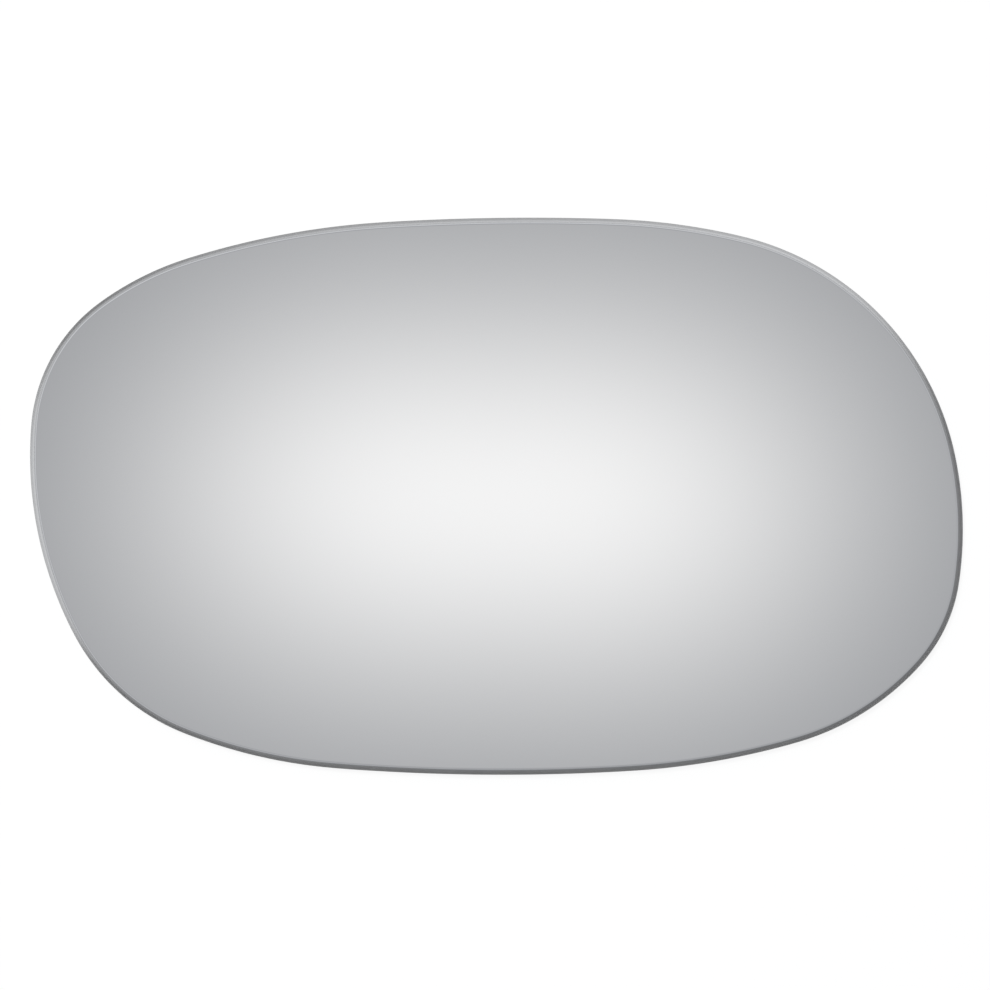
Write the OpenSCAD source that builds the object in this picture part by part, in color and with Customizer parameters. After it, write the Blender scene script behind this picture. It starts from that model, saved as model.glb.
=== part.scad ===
// Glass of a car door mirror: one flat plate with a free-form outline and a ground edge.
// The plate lies on its back on z = 0 with the mirror face up and +x to the viewer's right.
// The outline is a closed chain of arcs that run into each other without a corner. Where an
// arc ends is given as the direction that the edge faces there, in degrees from +x.

/* [Plate] */
// Width over the outline
glass_w = 178; // [160:1:200]
// Height over the outline
glass_h = 106.3; // [98:0.1:120]
// Thickness of the glass
glass_t = 2.2; // [1.8:0.1:4]

/* [Ground edge] */
// Width of the flat bevel next to the rim
bevel_w = 0.45; // [0.2:0.05:1]
// Slope of the bevel
bevel_deg = 34; // [20:1:45]
// Radius of the shoulder that leads from the bevel into the mirror face
shoulder_r = 1.45; // [0.5:0.05:2.5]
// Size of the chamfer round the back
back_arris = 0.35; // [0.1:0.05:0.4]

/* [Top edge] */
// Radius of the right stretch
top_right_r = 122; // [80:1:150]
// Radius of the left stretch
top_left_r = 156; // [100:1:200]

/* [Bottom edge] */
// Radius of the left stretch
bottom_left_r = 100.5; // [70:0.5:130]
// Radius of the right stretch
bottom_right_r = 146; // [100:1:190]

/* [Corners] */
// Radius of the upper right corner
upper_right_r = 54.5; // [45:0.5:60]
// Radius of the upper left corner
upper_left_r = 32; // [26:0.5:36]
// Radius of the stretch that leads from the top edge into the upper left corner
upper_left_lead_r = 58; // [40:1:80]
// Radius of the lower left corner
lower_left_r = 40.5; // [32:0.5:46]
// Radius of the lower right corner
lower_right_r = 30; // [24:0.5:36]
// Radius of the stretch that leads from the bottom edge into the lower right corner
lower_right_lead_r = 50.5; // [40:0.5:60]

/* [Directions] */
// End of the right side
right_end_deg = 12; // [8:0.5:20]
// End of the upper right corner
upper_right_end_deg = 76.5; // [70:0.5:80]
// End of the top edge's right stretch
top_right_end_deg = 88; // [86:0.5:89]
// End of the top edge's middle
top_end_deg = 93.5; // [92:0.5:96]
// End of the top edge's left stretch
top_left_end_deg = 107.5; // [102:0.5:112]
// End of the stretch that leads into the upper left corner
upper_left_lead_end_deg = 126; // [120:0.5:132]
// End of the upper left corner
upper_left_end_deg = 175.5; // [170:0.5:179]
// End of the left side
left_end_deg = 207.5; // [202:0.5:214]
// End of the lower left corner
lower_left_end_deg = 248.5; // [242:0.5:252]
// End of the bottom edge's left stretch
bottom_left_end_deg = 265.5; // [262:0.5:268]
// End of the bottom edge's middle
bottom_end_deg = 273.5; // [272:0.5:276]
// End of the bottom edge's right stretch
bottom_right_end_deg = 286; // [282:0.5:290]
// End of the stretch that leads into the lower right corner
lower_right_lead_end_deg = 318; // [312:0.5:324]
// End of the lower right corner
lower_right_end_deg = 351.5; // [346:0.5:356]

/* [Hidden] */
$fn = 240;

// Directions that face straight out of the four sides
right_deg = 0;
up_deg = 90;
left_deg = 180;
down_deg = 270;

// The chain starts at the lower end of the right side and runs against the clock
full_turn_deg = 360;
first_from_deg = lower_right_end_deg - full_turn_deg;
ends_deg = [
    right_end_deg, upper_right_end_deg, top_right_end_deg, top_end_deg, top_left_end_deg,
    upper_left_lead_end_deg, upper_left_end_deg, left_end_deg, lower_left_end_deg,
    bottom_left_end_deg, bottom_end_deg, bottom_right_end_deg, lower_right_lead_end_deg,
    lower_right_end_deg
];
arcs = [0:len(ends_deg) - 1];

// The two sides and the middles of the top and bottom edges have no radius of their own.
// They stand as 0 here, and take the radii that close the chain at the width and height.
set_radii = [
    0, upper_right_r, top_right_r, 0, top_left_r,
    upper_left_lead_r, upper_left_r, 0, lower_left_r, bottom_left_r,
    0, bottom_right_r, lower_right_lead_r, lower_right_r
];
open_arcs = [for (i = arcs) if (set_radii[i] == 0) i];

// Depth of the border that the arcs carry, inside of which the core fills the plate
border_share = 0.4;
border = border_share * min([for (r = set_radii) if (r > 0) r]);
core_inset = border / 2;

function from(i) = i == 0 ? first_from_deg : ends_deg[i - 1];
function dir(a) = [cos(a), sin(a)];
function within(a, lo, hi) = min(max(a, lo), hi);
function total(list) = list * [for (v = list) 1];

// Travel along arc i, for a radius of 1, while the edge faces directions from lo to hi
function travel(i, lo, hi) = dir(within(ends_deg[i], lo, hi)) - dir(within(from(i), lo, hi));

// Solves the square system m * x = v by clearing one unknown after the other
function solve(m, v) = len(v) == 1 ? [v[0] / m[0][0]] : let (
    last = len(v) - 1,
    factors = [for (row = m) row[0] / m[0][0]],
    rest = [for (i = [1:last]) [for (j = [1:last]) m[i][j] - factors[i] * m[0][j]]],
    sums = [for (i = [1:last]) v[i] - factors[i] * v[0]],
    found = solve(rest, sums),
    known = total([for (j = [1:last]) m[0][j] * found[j - 1]])
) concat([(v[0] - known) / m[0][0]], found);

// What the chain travels in each span: from, to, axis and distance. The top half crosses
// the width, the left half comes down the height, and the whole chain ends where it began.
spans = [
    [right_deg, left_deg, 0, -glass_w],
    [up_deg, down_deg, 1, -glass_h],
    [first_from_deg, lower_right_end_deg, 0, 0],
    [first_from_deg, lower_right_end_deg, 1, 0]
];
function span_travel(i, span) = travel(i, span[0], span[1])[span[2]];
open_radii = solve(
    [for (span = spans) [for (i = open_arcs) span_travel(i, span)]],
    [for (span = spans) span[3] - total([for (i = arcs) set_radii[i] * span_travel(i, span)])]
);
function open_radius(i) = total([for (k = [0:len(open_arcs) - 1]) open_arcs[k] == i ? open_radii[k] : 0]);
radii = [for (i = arcs) set_radii[i] + open_radius(i)];

// The outline is centred on the origin
function reach(a, axis) = total([for (i = arcs) radii[i] * travel(i, first_from_deg, a)[axis]]);
start = [glass_w / 2 - reach(right_deg, 0), glass_h / 2 - reach(up_deg, 1)];
function centre(i) = i == 0
    ? start - radii[0] * dir(first_from_deg)
    : centre(i - 1) + (radii[i - 1] - radii[i]) * dir(from(i));

// The shoulder runs into the bevel and the mirror face without a corner, in a few flat steps
shoulder_count = 4;
shoulder_centre = [-bevel_w - shoulder_r * sin(bevel_deg), glass_t - shoulder_r];
shoulder = [
    for (k = [0:shoulder_count])
        shoulder_centre + shoulder_r * dir(up_deg - bevel_deg * (1 - k / shoulder_count))
];

// Section of the border, with the outline at x = 0
edge_section = [
    [-border, 0],
    [-back_arris, 0],
    [0, back_arris],
    [0, shoulder[0][1] - bevel_w * tan(bevel_deg)],
    each shoulder,
    [-border, glass_t]
];

// Moves by v in whole millimetres, then in ten-thousandths, then by what is left, so that
// a far centre keeps its last digits and neighbouring arcs meet exactly
fine_count = 10000;
module shift(v) {
    coarse = [for (x = v) round(x)];
    fine = [for (x = v - coarse) round(x * fine_count) / fine_count];
    translate(coarse)
        translate(fine)
            translate(v - coarse - fine)
                children();
}

module border_arc(i) {
    shift(centre(i))
        rotate_extrude(start = from(i), angle = ends_deg[i] - from(i))
            shift([radii[i], 0])
                polygon(edge_section);
}

// The core has a corner at each end and each middle of an arc, halfway into the border
module core() {
    linear_extrude(glass_t)
        polygon([
            for (i = arcs, a = [from(i), (from(i) + ends_deg[i]) / 2])
                centre(i) + (radii[i] - core_inset) * dir(a)
        ]);
}

module mirror_glass() {
    color([0.72, 0.74, 0.76]) {
        core();
        for (i = arcs)
            border_arc(i);
    }
}

mirror_glass();
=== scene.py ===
import math

import bpy
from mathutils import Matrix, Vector


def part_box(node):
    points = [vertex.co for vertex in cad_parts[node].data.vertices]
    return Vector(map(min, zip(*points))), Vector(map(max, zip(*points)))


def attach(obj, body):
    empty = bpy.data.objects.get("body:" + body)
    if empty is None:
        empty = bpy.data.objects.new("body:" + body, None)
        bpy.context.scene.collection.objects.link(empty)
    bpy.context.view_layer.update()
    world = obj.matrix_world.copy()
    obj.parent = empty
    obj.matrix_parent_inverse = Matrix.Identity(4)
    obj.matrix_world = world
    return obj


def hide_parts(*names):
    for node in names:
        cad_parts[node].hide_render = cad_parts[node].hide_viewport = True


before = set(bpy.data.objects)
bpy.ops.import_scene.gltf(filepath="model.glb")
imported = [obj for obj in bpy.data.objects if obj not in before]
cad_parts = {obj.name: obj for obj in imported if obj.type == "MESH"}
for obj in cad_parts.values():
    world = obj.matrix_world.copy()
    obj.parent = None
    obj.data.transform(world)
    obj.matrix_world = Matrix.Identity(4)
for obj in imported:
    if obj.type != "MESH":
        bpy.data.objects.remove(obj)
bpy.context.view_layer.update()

# The glass, in metres. Its ground edge is a flat bevel that leaves the rim, and a round
# shoulder that leads from the bevel into the mirror face.
mm = 0.001
glass_low, glass_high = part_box("mirror_glass")
glass_t = glass_high.z - glass_low.z
bevel_w = 0.45 * mm
bevel_slope = math.radians(34)
bevel_d = bevel_w * math.tan(bevel_slope)
shoulder_r = 1.45 * mm
shoulder_d = shoulder_r * (1 - math.cos(bevel_slope))
rim_top = glass_t - bevel_d - shoulder_d
back_arris = 0.35 * mm

# How the glass is cut into faces: straight stretches of the outline for each corner of the
# packed one, steps of the bevel and of the shoulder, the slopes that break the rim's edge, and
# a level ring that lets the shoulder's shading end before the mirror face begins. A step has
# four corners, and only the mirror face and the back have more.
stretches = 4
bevel_steps = 2
shoulder_steps = 10
broken_slopes = [math.radians(d) for d in (80, 62, 45)]
broken_step = 0.01 * mm
level_ring_w = 0.05 * mm
crease_angle = math.radians(30)
merge_gap = 0.001 * mm
level_gap = 0.01 * mm
level_normal = 0.9999
step_corners = 4

# The camera looks straight down. The photograph's frame gives its height and its place.
frame_px = 990
glass_px = 932.95
glass_centre_px = Vector((496.475, 496.22))
pixel = (glass_high.x - glass_low.x) / glass_px
sensor = 36 * mm
lens = 100 * mm
camera_x = (frame_px / 2 - glass_centre_px.x) * pixel
camera_y = (glass_centre_px.y - frame_px / 2) * pixel
camera_h = frame_px * pixel * lens / sensor
camera_z = rim_top + camera_h
face_h = camera_z - glass_t

# Middle of the random patches that break up the finishes, which run from 0 to 1
patch_middle = 0.5

# Silvered face: a clean mirror with a haze that is too faint to see head on
silver_level = 0.86
silver_rough = 0.02
haze_rough = 0.012
haze_count = 1 / (18 * mm)
wave_count = 1 / (55 * mm)
wave_height = 0.02 * mm
wave_share = 0.02

# Ground edge, which the shoulder polishes out between two distances from the flat face. The
# wheel leaves fine lines along the edge, a frosted grain and a slight unevenness.
edge_level = 0.65
edge_rough = 0.32
edge_rough_range = 0.25
edge_tone_range = 0.3
polish_full = 0.1 * mm
polish_none = 0.5 * mm
line_count = 1 / (0.05 * mm)
line_stretch = 0.02
line_weight = 0.6
grain_count = 1 / (0.12 * mm)
grain_weight = 0.25
grain_depth = 0.5
uneven_count = 1 / (2.5 * mm)
uneven_weight = 0.15
grind_height = 0.0015 * mm
grind_share = 0.5

# Protective paint on the back: sprayed, with an orange peel and a slight cloudiness
paint_dark = (0.205, 0.21, 0.215)
paint_light = (0.245, 0.25, 0.255)
paint_rough = 0.46
paint_rough_range = 0.14
cloud_count = 1 / (14 * mm)
cloud_weight = 0.6
peel_count = 1 / (0.9 * mm)
peel_height = 0.012 * mm
peel_share = 0.6
speck_count = 1 / (0.25 * mm)
speck_weight = 0.4
speck_depth = 0.15
tone_start = 0.3
tone_end = 0.7

# Room: its walls are darker than the ceiling that the face reflects, and turn into it between
# two heights, in degrees
ceiling_colour = (0.3559, 0.3652, 0.3843)
wall_share = 0.08
wall_end = 33
ceiling_start = 78

# Soft box over the glass. Its middle and its half sizes are where it shows in the face, and
# it fades like a bell curve of these powers. Rays that rise less than the lowest rise miss it.
box_colour = (0.6874, 0.678, 0.661)
box_x = 0.163 * mm
box_y = -0.114 * mm
box_w = 69.28 * mm
box_h = 41.48 * mm
box_turn = math.radians(-0.82)
box_power_w = 2.658
box_power_h = 1.931
lowest_rise = 0.05

# Side lights, as a level, a window of directions round the key light's and a window of
# heights. A window starts, is full, fades and ends at these degrees. The last three are what
# the soft box spills on the ceiling round it, what it throws on the walls, and what the floor
# throws on the foot of the walls.
key_direction = 127
all_round = (-181, -180, 180, 181)
side_tint = (0.988, 1, 1.022)
side_lights = [
    (0.546, (-105, -83.5, -72, 22), (-5, 11, 46, 53.5)),
    (0.616, (5, 60.5, 79, 84.5), (-4, 9, 38.5, 58)),
    (0.33, (-162, -44, -3, 178), (23, 33, 67, 79.5)),
    (0.078, all_round, (54, 66, 75, 79.5)),
    (0.213, all_round, (10, 20, 36, 54)),
    (0.09, all_round, (-12, -6, 3, 19)),
]

# Key lamp, which gives the shadow its side
key_height = 62
key_distance = 1.5
key_size = 0.5
key_power = 11

# Floor: white card that glows, so that only the shadow next to the glass shows on it. The
# glow takes over from the card between two distances.
floor_size = 6
floor_level = 0.8
floor_glow = 1.065
floor_glow_share = 0.83
glow_start = 0.15
glow_full = 0.6
floor_gap = 0.02 * mm


class Tree:
    """The nodes of one material, or of the world."""

    def __init__(self, owner):
        owner.use_nodes = True
        self.nodes = owner.node_tree.nodes
        self.links = owner.node_tree.links
        self.nodes.clear()

    def node(self, kind, settings=(), inputs=(), out=0):
        """Adds a node: its settings first, then the values or links of its sockets."""
        node = self.nodes.new(kind)
        for name, setting in dict(settings).items():
            setattr(node, name, setting)
        for name, value in dict(inputs).items():
            if isinstance(value, Value):
                self.links.new(value.socket, node.inputs[name])
            else:
                node.inputs[name].default_value = value
        return Value(self, node.outputs[out]) if node.outputs else node

    def math(self, operation, *values):
        return self.node("ShaderNodeMath", {"operation": operation}, enumerate(values))

    def vector(self, operation, *values):
        return self.node("ShaderNodeVectorMath", {"operation": operation}, enumerate(values))

    def part(self, vector, axis):
        """The x, y or z of a vector."""
        return self.node("ShaderNodeSeparateXYZ", {}, {0: vector}, axis)

    def ramp(self, value, start, end):
        """Rises softly from 0 to 1 as the value goes from start to end."""
        ends = {"Value": value, "From Min": start, "From Max": end}
        return self.node("ShaderNodeMapRange", {"interpolation_type": "SMOOTHSTEP"}, ends)

    def mix_colours(self, factor, first, second):
        """Output 2 of the Mix node is its colour; its colour inputs are 6 and 7."""
        return self.node("ShaderNodeMix", {"data_type": "RGBA"}, {0: factor, 6: first, 7: second}, 2)

    def noise(self, vector, count, detail=2):
        """Soft random patches, with count of them in a metre."""
        return self.node("ShaderNodeTexNoise", {}, {"Vector": vector, "Scale": count, "Detail": detail})

    def bump(self, shape, height, share):
        return self.node("ShaderNodeBump", {}, {"Strength": share, "Distance": height, "Height": shape})


class Value:
    """A socket that takes part in plain arithmetic."""

    def __init__(self, tree, socket):
        self.tree = tree
        self.socket = socket

    def __add__(self, other):
        return self.tree.math("ADD", self, other)

    def __radd__(self, other):
        return self.tree.math("ADD", other, self)

    def __sub__(self, other):
        return self.tree.math("SUBTRACT", self, other)

    def __rsub__(self, other):
        return self.tree.math("SUBTRACT", other, self)

    def __mul__(self, other):
        return self.tree.math("MULTIPLY", self, other)

    def __rmul__(self, other):
        return self.tree.math("MULTIPLY", other, self)

    def __truediv__(self, other):
        return self.tree.math("DIVIDE", self, other)

    def __rtruediv__(self, other):
        return self.tree.math("DIVIDE", other, self)

    def __pow__(self, other):
        return self.tree.math("POWER", self, other)

    def __rpow__(self, other):
        return self.tree.math("POWER", other, self)

    def __abs__(self):
        return self.tree.math("ABSOLUTE", self)


def opaque(colour):
    return (*colour, 1)


def grey(level):
    return opaque((level, level, level))


def select_only(piece):
    bpy.ops.object.select_all(action="DESELECT")
    piece.select_set(True)
    bpy.context.view_layer.objects.active = piece


def select_faces(piece, wanted):
    """Goes into edit mode with only the faces selected for which wanted(face) is true."""
    bpy.ops.object.mode_set(mode="OBJECT")
    mesh = piece.data
    for group in (mesh.vertices, mesh.edges, mesh.polygons):
        for part in group:
            part.select = False
    for face in mesh.polygons:
        face.select = wanted(face)
    bpy.ops.object.mode_set(mode="EDIT")
    bpy.ops.mesh.select_mode(type="FACE")


def keep_rim_line(loop):
    """Deletes all but the corners at the top of the rim, and the line that joins them."""
    select_only(loop)
    bpy.ops.object.mode_set(mode="EDIT")
    bpy.ops.mesh.select_all(action="SELECT")
    bpy.ops.mesh.remove_doubles(threshold=merge_gap)
    bpy.ops.mesh.select_mode(type="VERT")
    bpy.ops.mesh.select_all(action="DESELECT")
    bpy.ops.object.mode_set(mode="OBJECT")
    for corner in loop.data.vertices:
        corner.select = abs(corner.co.z - rim_top) > level_gap
    bpy.ops.object.mode_set(mode="EDIT")
    bpy.ops.mesh.delete(type="VERT")
    bpy.ops.object.mode_set(mode="OBJECT")


def smooth_line():
    """Turns the active line of straight stretches into a smooth one of shorter stretches."""
    bpy.ops.object.convert(target="CURVE")
    bpy.ops.object.mode_set(mode="EDIT")
    bpy.ops.curve.select_all(action="SELECT")
    bpy.ops.curve.spline_type_set(type="BEZIER")
    bpy.ops.curve.handle_type_set(type="AUTOMATIC")
    bpy.ops.object.mode_set(mode="OBJECT")
    bpy.context.object.data.resolution_u = stretches
    bpy.ops.object.convert(target="MESH")
    return bpy.context.object


def outline(node):
    """The smooth outline of the glass, at the top of its rim."""
    loop = bpy.data.objects.new("mirror_glass_plate", node.data.copy())
    loop.data.materials.clear()
    bpy.context.scene.collection.objects.link(loop)
    keep_rim_line(loop)
    return smooth_line()


def edge_steps():
    """The section from the rim to the face, as (inwards, up) steps that end in the level ring."""
    broken = [(broken_step * math.cos(a), broken_step * math.sin(a)) for a in broken_slopes]
    step_w = (bevel_w - sum(w for w, d in broken)) / bevel_steps
    bevel = [(step_w, step_w * math.tan(bevel_slope))] * bevel_steps
    slopes = [bevel_slope * (1 - i / shoulder_steps) for i in range(shoulder_steps + 1)]
    shoulder = [
        (shoulder_r * (math.sin(a) - math.sin(b)), shoulder_r * (math.cos(b) - math.cos(a)))
        for a, b in zip(slopes, slopes[1:])
    ]
    return broken + bevel + shoulder + [(level_ring_w, 0)]


def plate():
    """The glass: rim, chamfered back and ground edge, all from the line round its rim."""
    glass = outline(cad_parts["mirror_glass"])
    steps = edge_steps()
    rim_end_z = glass_t - sum(d for w, d in steps)
    select_only(glass)
    bpy.ops.object.mode_set(mode="EDIT")
    bpy.ops.mesh.select_all(action="SELECT")
    bpy.ops.mesh.edge_face_add()
    bpy.ops.transform.translate(value=(0, 0, rim_end_z - rim_top))
    down = (0, 0, back_arris - rim_end_z)
    bpy.ops.mesh.extrude_region_move(TRANSFORM_OT_translate={"value": down})
    bpy.ops.mesh.select_all(action="SELECT")
    bpy.ops.mesh.normals_make_consistent(inside=False)
    select_faces(glass, lambda face: face.normal.z < -level_normal)
    bpy.ops.mesh.inset(thickness=back_arris, depth=back_arris)
    select_faces(glass, lambda face: face.normal.z > level_normal)
    for w, d in steps:
        bpy.ops.mesh.inset(thickness=w, depth=d)
    bpy.ops.object.mode_set(mode="OBJECT")
    bpy.ops.object.shade_smooth_by_angle(angle=crease_angle)
    return glass


def is_level(face, up):
    """Whether the face is the mirror face (up = 1) or the back (up = -1)."""
    return face.normal.z * up > level_normal and len(face.vertices) > step_corners


def fit_to_frame(glass):
    """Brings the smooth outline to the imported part's width, height and place."""
    corners = [corner.co for corner in glass.data.vertices]
    select_only(glass)
    for axis in (0, 1):
        low = min(corner[axis] for corner in corners)
        high = max(corner[axis] for corner in corners)
        glass.scale[axis] = (glass_high[axis] - glass_low[axis]) / (high - low)
        glass.location[axis] = glass_low[axis] - low * glass.scale[axis]
    bpy.ops.object.transform_apply(location=True, rotation=False, scale=True)


def silver():
    """The silvering behind clear flat glass: a clean mirror with the faintest haze and waves."""
    material = bpy.data.materials.new("silvered_glass")
    tree = Tree(material)
    place = tree.node("ShaderNodeTexCoord", out="Object")
    shader = tree.node("ShaderNodeBsdfPrincipled", {}, {
        "Base Color": grey(silver_level),
        "Metallic": 1,
        "Roughness": silver_rough + haze_rough * tree.noise(place, haze_count, detail=4),
        "Normal": tree.bump(tree.noise(place, wave_count), wave_height, wave_share),
    })
    tree.node("ShaderNodeOutputMaterial", {}, {"Surface": shader})
    return material


def ground_edge():
    """The satin ground edge, which the shoulder polishes out into the silvered face."""
    material = bpy.data.materials.new("ground_edge")
    tree = Tree(material)
    place = tree.node("ShaderNodeTexCoord", out="Object")
    drop = tree.math("MAXIMUM", glass_t - tree.part(place, axis=2), 0)
    # On a round shoulder a small drop lies the square root of 2 * radius * drop from the face
    from_face = (2 * shoulder_r * drop) ** 0.5
    ground = tree.ramp(from_face, polish_full, polish_none)
    stretched = tree.vector("MULTIPLY", place, (line_stretch, line_stretch, 1))
    lines = tree.noise(stretched, line_count, detail=3)
    grain = tree.noise(place, grain_count)
    uneven = tree.noise(place, uneven_count, detail=3)
    mixed = line_weight * lines + grain_weight * grain + uneven_weight * uneven
    wear = (mixed - patch_middle) * ground
    tone = edge_level * (1 + edge_tone_range * wear)
    shader = tree.node("ShaderNodeBsdfPrincipled", {}, {
        "Base Color": tree.mix_colours(ground, grey(silver_level), tone),
        "Metallic": 1,
        "Roughness": silver_rough + (edge_rough - silver_rough) * ground + edge_rough_range * wear,
        "Normal": tree.bump((lines + grain_depth * grain) * ground, grind_height, grind_share),
    })
    tree.node("ShaderNodeOutputMaterial", {}, {"Surface": shader})
    return material


def back_paint():
    """Grey protective paint over the silvering."""
    material = bpy.data.materials.new("back_paint")
    tree = Tree(material)
    place = tree.node("ShaderNodeTexCoord", out="Object")
    cloud = tree.noise(place, cloud_count, detail=4)
    peel = tree.noise(place, peel_count)
    speck = tree.noise(place, speck_count)
    tone = tree.ramp(cloud_weight * cloud + speck_weight * speck, tone_start, tone_end)
    shader = tree.node("ShaderNodeBsdfPrincipled", {}, {
        "Base Color": tree.mix_colours(tone, opaque(paint_dark), opaque(paint_light)),
        "Roughness": paint_rough + paint_rough_range * (speck - patch_middle),
        "Normal": tree.bump(peel + speck_depth * speck, peel_height, peel_share),
    })
    tree.node("ShaderNodeOutputMaterial", {}, {"Surface": shader})
    return material


def finish_glass(glass):
    """Every face has the first finish, the ground edge, until the two flat ones change."""
    finishes = glass.data.materials
    for material in (ground_edge(), silver(), back_paint()):
        finishes.append(material)
    for face in glass.data.polygons:
        if is_level(face, up=1):
            face.material_index = finishes.find("silvered_glass")
        elif is_level(face, up=-1):
            face.material_index = finishes.find("back_paint")


def window(tree, value, degrees):
    """Is 1 inside a window of directions or heights, and fades to 0 on both its sides."""
    start, full, fade, end = degrees
    return tree.ramp(value, start, full) * (1 - tree.ramp(value, fade, end))


def studio():
    """A pale cool room with a soft box straight above and softer lights round the sides."""
    world = bpy.data.worlds.new("studio")
    bpy.context.scene.world = world
    tree = Tree(world)
    ray = tree.node("ShaderNodeTexCoord", out="Generated")
    x, y, z = [tree.part(ray, axis) for axis in range(3)]
    height = tree.math("ARCSINE", z) * math.degrees(1)
    ahead = math.cos(math.radians(key_direction))
    aside = math.sin(math.radians(key_direction))
    turned = tree.math("ARCTAN2", y * ahead - x * aside, x * ahead + y * aside)
    direction = turned * math.degrees(1)

    up = tree.math("MAXIMUM", z, lowest_rise) / face_h
    over_x = x / up - (box_x - camera_x)
    over_y = y / up - (box_y - camera_y)
    across = abs(over_x * math.cos(box_turn) + over_y * math.sin(box_turn)) / box_w
    along = abs(over_y * math.cos(box_turn) - over_x * math.sin(box_turn)) / box_h
    box = tree.math("EXPONENT", -1 * (across ** box_power_w + along ** box_power_h))
    lit = [a + b for a, b in zip(ceiling_colour, box_colour)]
    ceiling = tree.mix_colours(box, opaque(ceiling_colour), opaque(lit))
    room = wall_share + (1 - wall_share) * tree.ramp(height, wall_end, ceiling_start)
    sides = 0
    for level, directions, heights in side_lights:
        sides = sides + level * window(tree, direction, directions) * window(tree, height, heights)
    tinted = tree.vector("MULTIPLY", side_tint, sides)
    light = tree.vector("MULTIPLY_ADD", ceiling, room, tinted)

    seen = tree.node("ShaderNodeLightPath", out="Is Camera Ray")
    background = tree.node("ShaderNodeBackground", {}, {"Color": tree.mix_colours(seen, light, grey(1))})
    tree.node("ShaderNodeOutputWorld", {}, {"Surface": background})


def floor():
    """A white floor that glows to the eye and in reflections, and takes a soft shadow."""
    bpy.ops.mesh.primitive_plane_add(size=floor_size, location=(0, 0, -floor_gap))
    ground = bpy.context.object
    ground.name = "floor"
    material = bpy.data.materials.new("white_floor")
    tree = Tree(material)
    card = tree.node("ShaderNodeBsdfDiffuse", {}, {"Color": grey(floor_level)})
    glow = tree.node("ShaderNodeEmission", {}, {"Color": grey(1), "Strength": floor_glow})
    eye, glossy, clear = [
        tree.node("ShaderNodeLightPath", out=name)
        for name in ("Is Camera Ray", "Is Glossy Ray", "Is Transmission Ray")
    ]
    seen = tree.math("MINIMUM", eye + glossy + clear, 1)
    away = tree.node("ShaderNodeVectorMath", {"operation": "LENGTH"},
                     {0: tree.node("ShaderNodeTexCoord", out="Object")}, "Value")
    share = floor_glow_share + (1 - floor_glow_share) * tree.ramp(away, glow_start, glow_full)
    surface = tree.node("ShaderNodeMixShader", {}, {0: seen * share, 1: card, 2: glow})
    tree.node("ShaderNodeOutputMaterial", {}, {"Surface": surface})
    ground.data.materials.append(material)


def key_lamp():
    data = bpy.data.lights.new("key_lamp", "AREA")
    data.shape = "DISK"
    data.size = key_size
    data.energy = key_power
    lamp = bpy.data.objects.new("key_lamp", data)
    bpy.context.scene.collection.objects.link(lamp)
    turn = math.radians(key_direction)
    height = math.radians(key_height)
    outwards = math.cos(height)
    towards = Vector((math.cos(turn) * outwards, math.sin(turn) * outwards, math.sin(height)))
    lamp.location = towards * key_distance
    lamp.rotation_euler = towards.to_track_quat("Z", "Y").to_euler()
    lamp.visible_glossy = False


def camera():
    data = bpy.data.cameras.new("camera")
    data.lens = lens / mm
    data.sensor_width = sensor / mm
    eye = bpy.data.objects.new("camera", data)
    bpy.context.scene.collection.objects.link(eye)
    eye.location = (camera_x, camera_y, camera_z)
    bpy.context.scene.camera = eye


glass = plate()
fit_to_frame(glass)
finish_glass(glass)
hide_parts("mirror_glass")
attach(glass, "root")
studio()
floor()
key_lamp()
camera()
bpy.context.scene.view_settings.view_transform = "Standard"
